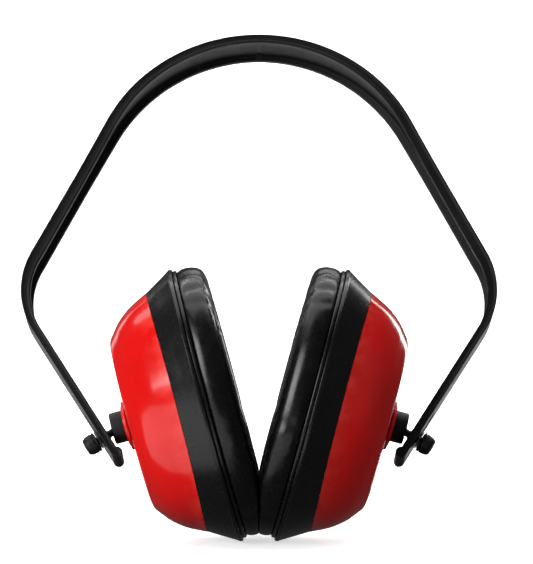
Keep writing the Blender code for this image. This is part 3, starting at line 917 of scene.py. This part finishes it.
def make_joint(side, materials):
    """The bush round the ball, the socket collar round the bush, and the clip's material."""
    inner = arc(BALL_RADIUS + GAP, SEAT_FOOT, SEAT_TOP)
    profile = arc(SEAT_OUTER, SEAT_TOP, SEAT_FOOT) + inner
    seat = lathe(side + "_bush", profile, materials["seat"], stud_matrix(side), closed=True)
    finish_piece(seat, side + "_seat", "seat_plastic", side + "_ball_seat")

    cavity = arc(COLLAR_CAVITY, CAVITY_FOOT, CAVITY_TOP)
    groove = COLLAR_RADIUS - CLIP_GROOVE
    groove_top = COLLAR_FOOT + 1.6 * MM
    groove_foot = COLLAR_FOOT + 0.6 * MM
    profile = fillet([
        (COLLAR_RADIUS - 1.15 * MM, COLLAR_LIP),
        (COLLAR_RADIUS, COLLAR_LIP),
        (COLLAR_RADIUS, 0.0),
        (COLLAR_RADIUS, groove_top),
        (groove, groove_top),
        (groove, groove_foot),
        (COLLAR_RADIUS, groove_foot),
        (COLLAR_RADIUS - 0.5 * MM, COLLAR_FOOT),
        (cavity[0][0], COLLAR_FOOT),
    ], 0.6 * MM, 5)
    profile += cavity
    collar = lathe(side + "_collar", profile, materials["joint"], cup_matrix(side), closed=True)
    finish_piece(collar, side + "_collar", "joint_plastic", side + "_socket_collar")

    clip = frame["nodes"][side + "_retaining_clip"]
    clip.data.materials.clear()
    clip.data.materials.append(materials["steel"])


# Cups -------------------------------------------------------------------------------------


def oval_point(inset, depth, angle):
    """A point of the cup's oval, in the cup's frame."""
    c = math.cos(angle)
    s = math.sin(angle)
    x = (CUP_HALF_LENGTH - inset) * math.copysign(abs(c) ** (2.0 / OVAL_POWER), c)
    y = (CUP_HALF_WIDTH - inset) * math.copysign(abs(s) ** (2.0 / OVAL_POWER), s)
    return x, y, depth - BALL_DEPTH


def oval_rings(section, segments=OVAL_SEGMENTS):
    """Rings round the oval from a section, which gives (inset, depth) points for an angle."""
    angles = [2.0 * math.pi * i / segments for i in range(segments)]
    sections = [section(angle) for angle in angles]
    return [
        [oval_point(*sections[i][k], angles[i]) for i in range(segments)]
        for k in range(len(sections[0]))
    ]


def oval_piece(name, section, material, side, loop=True):
    """Loft a section round the cup's oval."""
    return loft(name, oval_rings(section), material, shell_matrix(side), loop)


def parting_point(angle, clearance):
    """Where the shell's outer side meets the rim's, which dips along the cup's sides."""
    depth = PARTING_DEPTH - PARTING_SLOPE * math.cos(angle) - PARTING_SAG * math.sin(angle) ** 2
    return SHELL_RIM_INSET * depth / SHELL_RIM_DEPTH, depth + clearance


def inward(profile, distance):
    """Move a profile that runs down an outer side inwards."""
    moved = []
    for i, (inset, depth) in enumerate(profile):
        before = Vector(profile[max(0, i - 1)])
        after = Vector(profile[min(len(profile) - 1, i + 1)])
        along = (after - before).normalized()
        moved.append((inset - along.y * distance, depth + along.x * distance))
    return moved


def shell_section(angle):
    """The shell's wall: down its outer side from the flat back, and up its inner side."""
    foot = parting_point(angle, 0.0)
    back = fillet([*SHELL_BACK, SHELL_SHOULDER], BACK_FILLET, 8)
    wall = fillet([SHELL_SHOULDER, *SHELL_SIDE, foot], SIDE_FILLET, 10)
    outer = back[:-1] + wall
    inner = inward(outer, SHELL_WALL)
    inner[0] = (outer[0][0], SHELL_DEPTH - SHELL_WALL)
    inner[-1] = (foot[0] + SHELL_WALL, foot[1])
    return outer + inner[::-1]


def make_shell(side, materials):
    """The glossy shell with its stepped boss and the collar's hole."""
    shell = oval_piece(side + "_shell", shell_section, materials["shell"], side, loop=False)
    fix_normals(shell)
    back = SHELL_DEPTH - BALL_DEPTH
    root = back - SHELL_WALL / 2.0
    flange = back + 0.8 * MM
    step = flange + 1.0 * MM
    top = step + 0.5 * MM
    boss_profile = fillet([
        (0.0, top),
        (BOSS_STEP_RADIUS, top),
        (BOSS_STEP_RADIUS, step),
        (BOSS_RADIUS, step),
        (BOSS_RADIUS, flange),
        (BOSS_STEP_RADIUS, flange),
        (BOSS_STEP_RADIUS, back),
        (BOSS_STEP_RADIUS, root),
        (0.0, root),
    ], 0.35 * MM, 4)
    boss = lathe(side + "_boss", boss_profile, materials["shell"], shell_matrix(side))
    boolean(shell, boss, "UNION")
    hole_radius = COLLAR_RADIUS + GAP
    above = 6.0 * MM
    below = -9.0 * MM
    hole_profile = [(0.0, above), (hole_radius, above), (hole_radius, below), (0.0, below)]
    hole = lathe(side + "_hole", hole_profile, materials["shell"], cup_matrix(side))
    boolean(shell, hole, "DIFFERENCE")
    smooth(shell, 40.0)
    finish_piece(shell, side + "_cup", "shell_red", side + "_outer_shell")


def rim_section(angle):
    """The rim ring: a slightly hollow outer side over a narrow lip, and a flange inside."""
    inset, top = parting_point(angle, -0.15 * MM)
    return fillet([
        (inset + 2.6 * MM, top),
        (inset, top),
        (inset * 0.5 + 0.1 * MM, top * 0.55),
        (0.35 * MM, 1.5 * MM),
        (0.0, RIM_LIP),
        (0.0, 0.0),
        (RIM_FLANGE_INSET, 0.0),
        (RIM_FLANGE_INSET, RIM_FLANGE_TOP),
        (3.8 * MM, RIM_FLANGE_TOP),
    ], 0.3 * MM, 4, closed=True)


def plate_section(angle):
    """The cushion's clip-on plate, whose rounded edge shows as a bead."""
    hole = CUSHION_HOLE_INSET - 2.0 * MM
    edge = CUSHION_SIDE_INSET - 1.5 * MM
    top = -0.1 * MM
    foot = -1.6 * MM
    return fillet([(hole, top), (edge, top), (edge, foot), (hole, foot)], 0.6 * MM, 5, closed=True)


def make_rim(side, materials):
    """The satin rim ring and the cushion's plate."""
    rim = oval_piece(side + "_rim", rim_section, materials["rim"], side)
    finish_piece(rim, side + "_cup", "rim_black", side + "_rim_ring")
    plate = oval_piece(side + "_plate", plate_section, materials["rim"], side)
    finish_piece(plate, side + "_cup", "rim_black", side + "_cushion_plate")


def cushion_profile():
    """The slack cushion's section: up its side, over a flat face and down into the ear hole."""
    foot = -1.75 * MM
    height = CUSHION_HEIGHT - 1.0 * MM
    outline = fillet([
        (CUSHION_SIDE_INSET - 0.9 * MM, foot),
        (CUSHION_BULGE_INSET - 0.2 * MM, foot - 2.4 * MM),
        (CUSHION_BULGE_INSET, -7.4 * MM),
        (CUSHION_BULGE_INSET + 1.5 * MM, -height + 0.9 * MM),
        (CUSHION_BULGE_INSET + 4.6 * MM, -height),
        (CUSHION_HOLE_INSET - 1.2 * MM, -height),
        (CUSHION_HOLE_INSET, -height + 4.0 * MM),
        (CUSHION_HOLE_INSET, foot),
    ], 6.0 * MM, 6)
    return resample(outline, CUSHION_STEP)


def make_cushion(side, material, seed):
    """A vinyl cushion, swollen by a cloth simulation and pressed flat where the two meet."""
    profile = cushion_profile()
    rings = oval_rings(lambda angle: profile, CUSHION_SEGMENTS)
    cushion = loft(side + "_cushion", rings, material, loop=True)
    fix_normals(cushion)
    crumple(cushion, seed)
    inflate(cushion)
    cushion.data.transform(shell_matrix(side))
    press_at_middle(cushion, SIDES[side])
    relax = cushion.modifiers.new("relax", "SMOOTH")
    relax.factor = RELAX_FACTOR
    relax.iterations = RELAX_STEPS
    fine = cushion.modifiers.new("fine", "SUBSURF")
    fine.levels = 1
    fine.render_levels = 1
    apply_modifiers(cushion)
    cushion.data.shade_smooth()
    nodes = (side + "_cushion_skin", side + "_cushion_foam")
    finish_piece(cushion, side + "_cup", "cushion_skin", *nodes)
    place = shell_matrix(side)
    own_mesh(cushion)


def crumple(cushion, seed):
    """Give the slack skin faint waves, and a few gathered creases across its upper end."""
    offset = Vector((seed * 3.1, seed * 7.7, seed * 1.3))
    floor = -BALL_DEPTH - CRUMPLE_DEPTH
    for vertex in cushion.data.vertices:
        if vertex.co.z > floor:
            continue
        around = math.atan2(vertex.co.y, vertex.co.x)
        wave = noise.noise(Vector((around * 5.0, vertex.co.z * 50.0, 0.0)) + offset)
        lift = wave * WAVE_HEIGHT
        for place, width, depth in CREASES:
            for side_of_oval in (-1.0, 1.0):
                wander = noise.noise(Vector((vertex.co.z * 220.0, place * 9.0, seed)))
                away = (around - side_of_oval * place + CREASE_WANDER * wander) / width
                lift -= depth * math.exp(-away * away)
        vertex.co += vertex.normal * lift * MM


def inflate(cushion):
    """Blow the skin up with cloth simulation, held along its foot, and fix the result."""
    foot = -BALL_DEPTH - CLOTH_HELD_DEPTH
    held = cushion.vertex_groups.new(name="held")
    held.add([v.index for v in cushion.data.vertices if v.co.z > foot], 1.0, "REPLACE")
    before = [v.co.copy() for v in cushion.data.vertices]
    cloth = cushion.modifiers.new("cloth", "CLOTH")
    settings = cloth.settings
    settings.quality = 6
    settings.mass = 0.05
    settings.tension_stiffness = CLOTH_STIFFNESS
    settings.compression_stiffness = CLOTH_STIFFNESS
    settings.shear_stiffness = CLOTH_SHEAR
    settings.bending_stiffness = CLOTH_BENDING
    settings.vertex_group_mass = "held"
    settings.use_pressure = True
    settings.uniform_pressure_force = CLOTH_PRESSURE
    settings.effector_weights.gravity = 0.0
    cloth.point_cache.frame_start = 1
    cloth.point_cache.frame_end = CLOTH_FRAMES
    scene = bpy.context.scene
    for number in range(1, CLOTH_FRAMES + 1):
        scene.frame_set(number)
    apply_modifiers(cushion)
    scene.frame_set(1)
    for vertex, start in zip(cushion.data.vertices, before):
        move = vertex.co - start
        if move.length > MOST_SWELLING:
            vertex.co = start + move.normalized() * MOST_SWELLING


def press_at_middle(cushion, sign):
    """Flatten the skin where the two cushions press on each other, along one shared wavy face."""
    for vertex in cushion.data.vertices:
        seam = FACE_WAVE * math.sin(330.0 * vertex.co.y + 60.0 * vertex.co.z)
        reach = sign * (vertex.co.x - seam) - FACE_HALF_GAP
        if reach < FACE_SOFTNESS:
            eased = FACE_SOFTNESS * math.exp((reach - FACE_SOFTNESS) / FACE_SOFTNESS)
            vertex.co.x = seam + sign * (FACE_HALF_GAP + eased)


def make_liner(side, material):
    """The foam pad in the shell, whose face bulges softly towards the ear."""
    face = LINER_DEPTH - 0.2 * MM
    section = fillet([
        (17.0 * MM, LINER_DEPTH + 8.0 * MM),
        (LINER_EDGE_INSET, LINER_DEPTH + 0.4 * MM),
        (LINER_FACE_INSET, face),
    ], 0.8 * MM, 4)
    for i in range(1, 10):
        bulge = LINER_BULGE * math.sin(math.pi * i / 20)
        section.append((LINER_FACE_INSET + LINER_REACH * i / 10, face - bulge))
    liner = oval_piece(side + "_liner", lambda angle: section, material, side, loop=False)
    finish_piece(liner, side + "_cup", "foam", side + "_foam_liner")


# Studio -----------------------------------------------------------------------------------


def add_sheet(name, points, faces, colour, glow=0.0):
    """A matt sheet of the studio, which may glow a little, like a light table."""
    mesh = bpy.data.meshes.new(name)
    mesh.from_pydata(points, [], faces)
    material = bpy.data.materials.new(name)
    material.use_nodes = True
    shader = material.node_tree.nodes["Principled BSDF"]
    shader.inputs["Base Color"].default_value = (colour, colour, colour, 1.0)
    shader.inputs["Roughness"].default_value = 0.9
    shader.inputs["Specular IOR Level"].default_value = 0.1
    shader.inputs["Emission Color"].default_value = (1.0, 1.0, 1.0, 1.0)
    shader.inputs["Emission Strength"].default_value = glow
    sheet = add_piece(name, mesh, material)
    sheet.data.shade_smooth()
    return sheet


def make_floor():
    """The floor and a half ring of wall behind the camera. Bounced light passes through both."""
    reach = FLOOR_REACH
    back = BACKDROP_START
    corners = [(-reach, -reach, 0.0), (reach, -reach, 0.0), (reach, back, 0.0), (-reach, back, 0.0)]
    floor = add_sheet("floor", corners, [(0, 1, 2, 3)], SHEET_COLOUR, FLOOR_GLOW)
    wall = []
    for i in range(SURROUND_STEPS + 1):
        a = math.pi * (1.0 + i / SURROUND_STEPS)
        for height in (0.0, reach):
            wall.append((reach * math.cos(a), reach * math.sin(a) + back, height))
    faces = [(2 * i, 2 * i + 2, 2 * i + 3, 2 * i + 1) for i in range(SURROUND_STEPS)]
    surround = add_sheet("surround", wall, faces, SHEET_COLOUR, SURROUND_GLOW)
    for sheet in (floor, surround):
        sheet.visible_glossy = False
        sheet.visible_diffuse = False
    floor.visible_shadow = False


def make_backdrop():
    """The backdrop, which curves up from the floor's back edge."""
    curve = []
    for i in range(BACKDROP_STEPS + 1):
        a = math.pi / 2.0 * i / BACKDROP_STEPS
        away = BACKDROP_START + BACKDROP_RADIUS * math.sin(a)
        curve.append((away, BACKDROP_RADIUS * (1.0 - math.cos(a))))
    curve.append((BACKDROP_START + BACKDROP_RADIUS, BACKDROP_TOP))
    points = [(x, y, z) for y, z in curve for x in (-FLOOR_REACH, FLOOR_REACH)]
    faces = [(2 * i, 2 * i + 1, 2 * i + 3, 2 * i + 2) for i in range(len(curve) - 1)]
    backdrop = add_sheet("backdrop", points, faces, SHEET_COLOUR, BACKDROP_GLOW)
    backdrop.visible_glossy = False


def make_cards():
    """Two cards just below the floor, for the plastic to reflect: bright in front, dim behind."""
    bounce = []
    for i in range(CARD_SEGMENTS):
        a = 2.0 * math.pi * i / CARD_SEGMENTS
        x = BOUNCE_CENTRE[0] + BOUNCE_RADIUS * math.cos(a)
        y = BOUNCE_CENTRE[1] + BOUNCE_RADIUS * math.sin(a)
        bounce.append((x, y, CARD_HEIGHT))
    add_sheet("bounce_card", bounce, [tuple(range(CARD_SEGMENTS))], SHEET_COLOUR)
    dim = [
        (-DIM_HALF_WIDTH, DIM_FRONT, CARD_HEIGHT),
        (DIM_HALF_WIDTH, DIM_FRONT, CARD_HEIGHT),
        (DIM_HALF_WIDTH, DIM_BACK, CARD_HEIGHT),
        (-DIM_HALF_WIDTH, DIM_BACK, CARD_HEIGHT),
    ]
    shade = add_sheet("dim_card", dim, [(0, 1, 2, 3)], DIM_COLOUR)
    shade.visible_diffuse = False


def add_light(name, place, target, size, power):
    """A rectangular soft light aimed at a point."""
    data = bpy.data.lights.new(name, "AREA")
    data.shape = "RECTANGLE"
    data.size = size[0]
    data.size_y = size[1]
    data.energy = power
    lamp = add_object(name, data)
    lamp.location = place
    lamp.rotation_euler = (Vector(target) - Vector(place)).to_track_quat("-Z", "Y").to_euler()
    return lamp


def make_studio():
    """The sheets, the lamps and a weak even light. The fill lamp isn't seen in reflections."""
    make_floor()
    make_backdrop()
    make_cards()
    lamps = {lamp[0]: add_light(*lamp) for lamp in LAMPS}
    lamps["fill"].visible_glossy = False
    world = bpy.data.worlds.new("studio")
    world.use_nodes = True
    background = world.node_tree.nodes["Background"]
    background.inputs["Color"].default_value = (1.0, 1.0, 1.0, 1.0)
    background.inputs["Strength"].default_value = AMBIENT
    bpy.context.scene.world = world
    bpy.context.scene.view_settings.view_transform = "Standard"


def make_camera():
    """A camera that stands level in front of the earmuff."""
    ball = Vector(joint("left_cup_tilt")["pos_m"])
    data = bpy.data.cameras.new("camera")
    data.sensor_width = SENSOR
    data.lens = SENSOR * CAMERA_DISTANCE / PICTURE_HEIGHT
    data.shift_x = CAMERA_SHIFT
    camera = add_object("camera", data)
    camera.location = (0.0, ball.y - CAMERA_DISTANCE, ball.z + CAMERA_RISE)
    camera.rotation_euler = (math.pi / 2.0, 0.0, 0.0)
    bpy.context.scene.camera = camera


def main():
    """Dress every body of the frame and set up the studio."""
    materials = make_materials()
    make_camera()
    make_headband(materials["band"])
    for seed, side in enumerate(SIDES, start=1):
        make_stud(side, materials["joint"])
        make_washer(side, materials["steel"])
        make_knob(side, materials["joint"])
        make_joint(side, materials)
        make_shell(side, materials)
        make_rim(side, materials)
        make_cushion(side, materials["vinyl"], seed)
        make_liner(side, materials["foam"])
    make_studio()


main()
